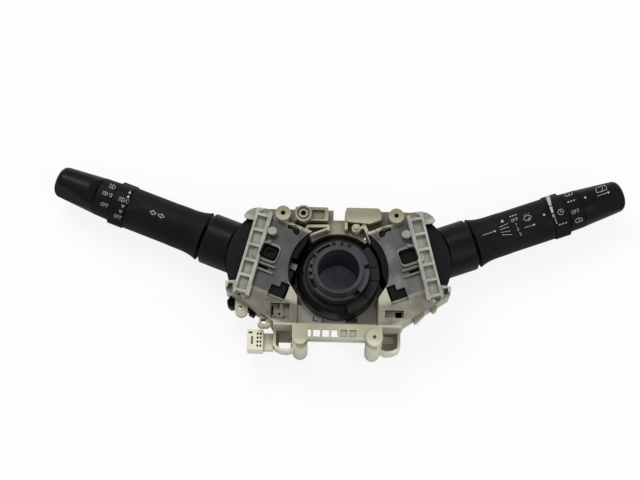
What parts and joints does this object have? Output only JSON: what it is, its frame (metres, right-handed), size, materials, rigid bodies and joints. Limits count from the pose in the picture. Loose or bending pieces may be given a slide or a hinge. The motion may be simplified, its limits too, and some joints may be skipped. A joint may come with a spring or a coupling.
{
  "type": "combination stalk switch",
  "caption": "Steering column stalk switch: ribbed nylon body round a hub, with lighting and wiper levers that turn, tilt and carry rotary rings and end knobs.",
  "frame": {"origin": "centre of the rear spigot on the column axis, in the back plane", "axes": "+Z along the column towards the driver, +X towards the wiper stalk, +Y towards the top of the column"},
  "size_m": [0.393, 0.1265, 0.043],
  "materials": {
    "natural_nylon": "satin translucent moulding",
    "black_plastic": "fine grain",
    "satin_black": "polished moulding",
    "dark_grey_plastic": "moulded",
    "connector_cream": "moulded",
    "brass": "tin flashed",
    "steel": "zinc plated",
    "circuit_board": "solder mask"
  },
  "bodies": {
    "body": {"column_body": "natural_nylon", "sensor_case": "black_plastic", "sensor_board": "circuit_board", "harness_connector": "connector_cream", "connector_pins": "brass", "wire_clip": "black_plastic", "left_switch_case": "black_plastic", "left_case_cover": "black_plastic", "left_cover_screws": "steel", "left_contact_board": "circuit_board", "left_terminals": "brass", "right_switch_case": "black_plastic", "right_case_cover": "black_plastic", "right_cover_screws": "steel", "right_contact_board": "circuit_board", "right_terminals": "brass"},
    "rotor": {"sensor_rotor": "dark_grey_plastic", "rotor_clip": "steel"},
    "pawl": {"cancel_pawl": "natural_nylon"},
    "left_bracket": {"left_turn_bracket": "black_plastic", "left_tilt_pin": "steel", "left_detent_spring": "steel", "left_lever_collar": "satin_black"},
    "left_plunger": {"left_detent_plunger": "natural_nylon"},
    "left_slider": {"left_contact_slider": "natural_nylon"},
    "left_stalk": {"left_lever": "black_plastic", "left_index_ring": "black_plastic"},
    "left_ring": {"left_rotary_ring": "black_plastic"},
    "left_end_knob": {"left_knob": "satin_black", "left_knob_shaft": "steel"},
    "right_bracket": {"right_turn_bracket": "black_plastic", "right_tilt_pin": "steel", "right_detent_spring": "steel", "right_lever_collar": "satin_black"},
    "right_plunger": {"right_detent_plunger": "natural_nylon"},
    "right_slider": {"right_contact_slider": "natural_nylon"},
    "right_stalk": {"right_lever": "black_plastic", "right_index_ring": "black_plastic"},
    "right_ring": {"right_rotary_ring": "black_plastic"},
    "right_end_knob": {"right_knob": "satin_black", "right_knob_shaft": "steel"}
  },
  "joints": [
    {"name": "rotor_spin", "type": "hinge", "parent": "body", "child": "rotor", "pos_m": [0, 0, 0.02], "axis": [0, 0, 1], "continuous": true},
    {"name": "cancel_pawl_swing", "type": "hinge", "parent": "body", "child": "pawl", "pos_m": [-0.03564, 0.00668, 0.0205], "axis": [0, 0, 1], "range_deg": [-8, 8], "stiffness_Nm_per_rad": 0.02},
    {"name": "left_turn_signal", "type": "hinge", "parent": "body", "child": "left_bracket", "pos_m": [-0.03564, 0.00668, 0.0205], "axis": [0, 0, 1], "range_deg": [-10, 10]},
    {"name": "left_contact_slide", "type": "slide", "parent": "body", "child": "left_slider", "axis": [0.3469, 0.9379, 0], "range_m": [-0.0037, 0.0037]},
    {"name": "left_detent", "type": "slide", "parent": "left_bracket", "child": "left_plunger", "axis": [0, 0, 1], "range_m": [0, 0.0008], "stiffness_N_per_m": 300, "deforming": ["left_detent_spring"]},
    {"name": "left_beam_pull", "type": "hinge", "parent": "left_bracket", "child": "left_stalk", "pos_m": [-0.08047, 0.02327, 0.0205], "axis": [0.3469, 0.9379, 0], "range_deg": [-5, 6], "stiffness_Nm_per_rad": 3},
    {"name": "left_fog_ring", "type": "hinge", "parent": "left_stalk", "child": "left_ring", "pos_m": [-0.14631, 0.04762, 0.0205], "axis": [-0.9379, 0.3469, 0], "range_deg": [-15, 15], "stiffness_Nm_per_rad": 0.05},
    {"name": "left_light_knob", "type": "hinge", "parent": "left_stalk", "child": "left_end_knob", "pos_m": [-0.16882, 0.05595, 0.0205], "axis": [-0.9379, 0.3469, 0], "range_deg": [-44, 8]},
    {"name": "right_wiper_select", "type": "hinge", "parent": "body", "child": "right_bracket", "pos_m": [0.03564, 0.00668, 0.0205], "axis": [0, 0, 1], "range_deg": [-13.5, 4.5]},
    {"name": "right_contact_slide", "type": "slide", "parent": "body", "child": "right_slider", "axis": [-0.3469, 0.9379, 0], "range_m": [-0.005, 0.0018]},
    {"name": "right_detent", "type": "slide", "parent": "right_bracket", "child": "right_plunger", "axis": [0, 0, 1], "range_m": [0, 0.0008], "stiffness_N_per_m": 300, "deforming": ["right_detent_spring"]},
    {"name": "right_washer_pull", "type": "hinge", "parent": "right_bracket", "child": "right_stalk", "pos_m": [0.08047, 0.02327, 0.0205], "axis": [0.3469, -0.9379, 0], "range_deg": [0, 6], "stiffness_Nm_per_rad": 3},
    {"name": "right_interval_ring", "type": "hinge", "parent": "right_stalk", "child": "right_ring", "pos_m": [0.14631, 0.04762, 0.0205], "axis": [0.9379, 0.3469, 0], "range_deg": [-30, 30]},
    {"name": "right_rear_knob", "type": "hinge", "parent": "right_stalk", "child": "right_end_knob", "pos_m": [0.16882, 0.05595, 0.0205], "axis": [0.9379, 0.3469, 0], "range_deg": [-36, 18]}
  ],
  "couplings": [
    {"joint": "left_contact_slide", "follows": "left_turn_signal", "m_per_rad": -0.02},
    {"joint": "right_contact_slide", "follows": "right_wiper_select", "m_per_rad": 0.02}
  ]
}
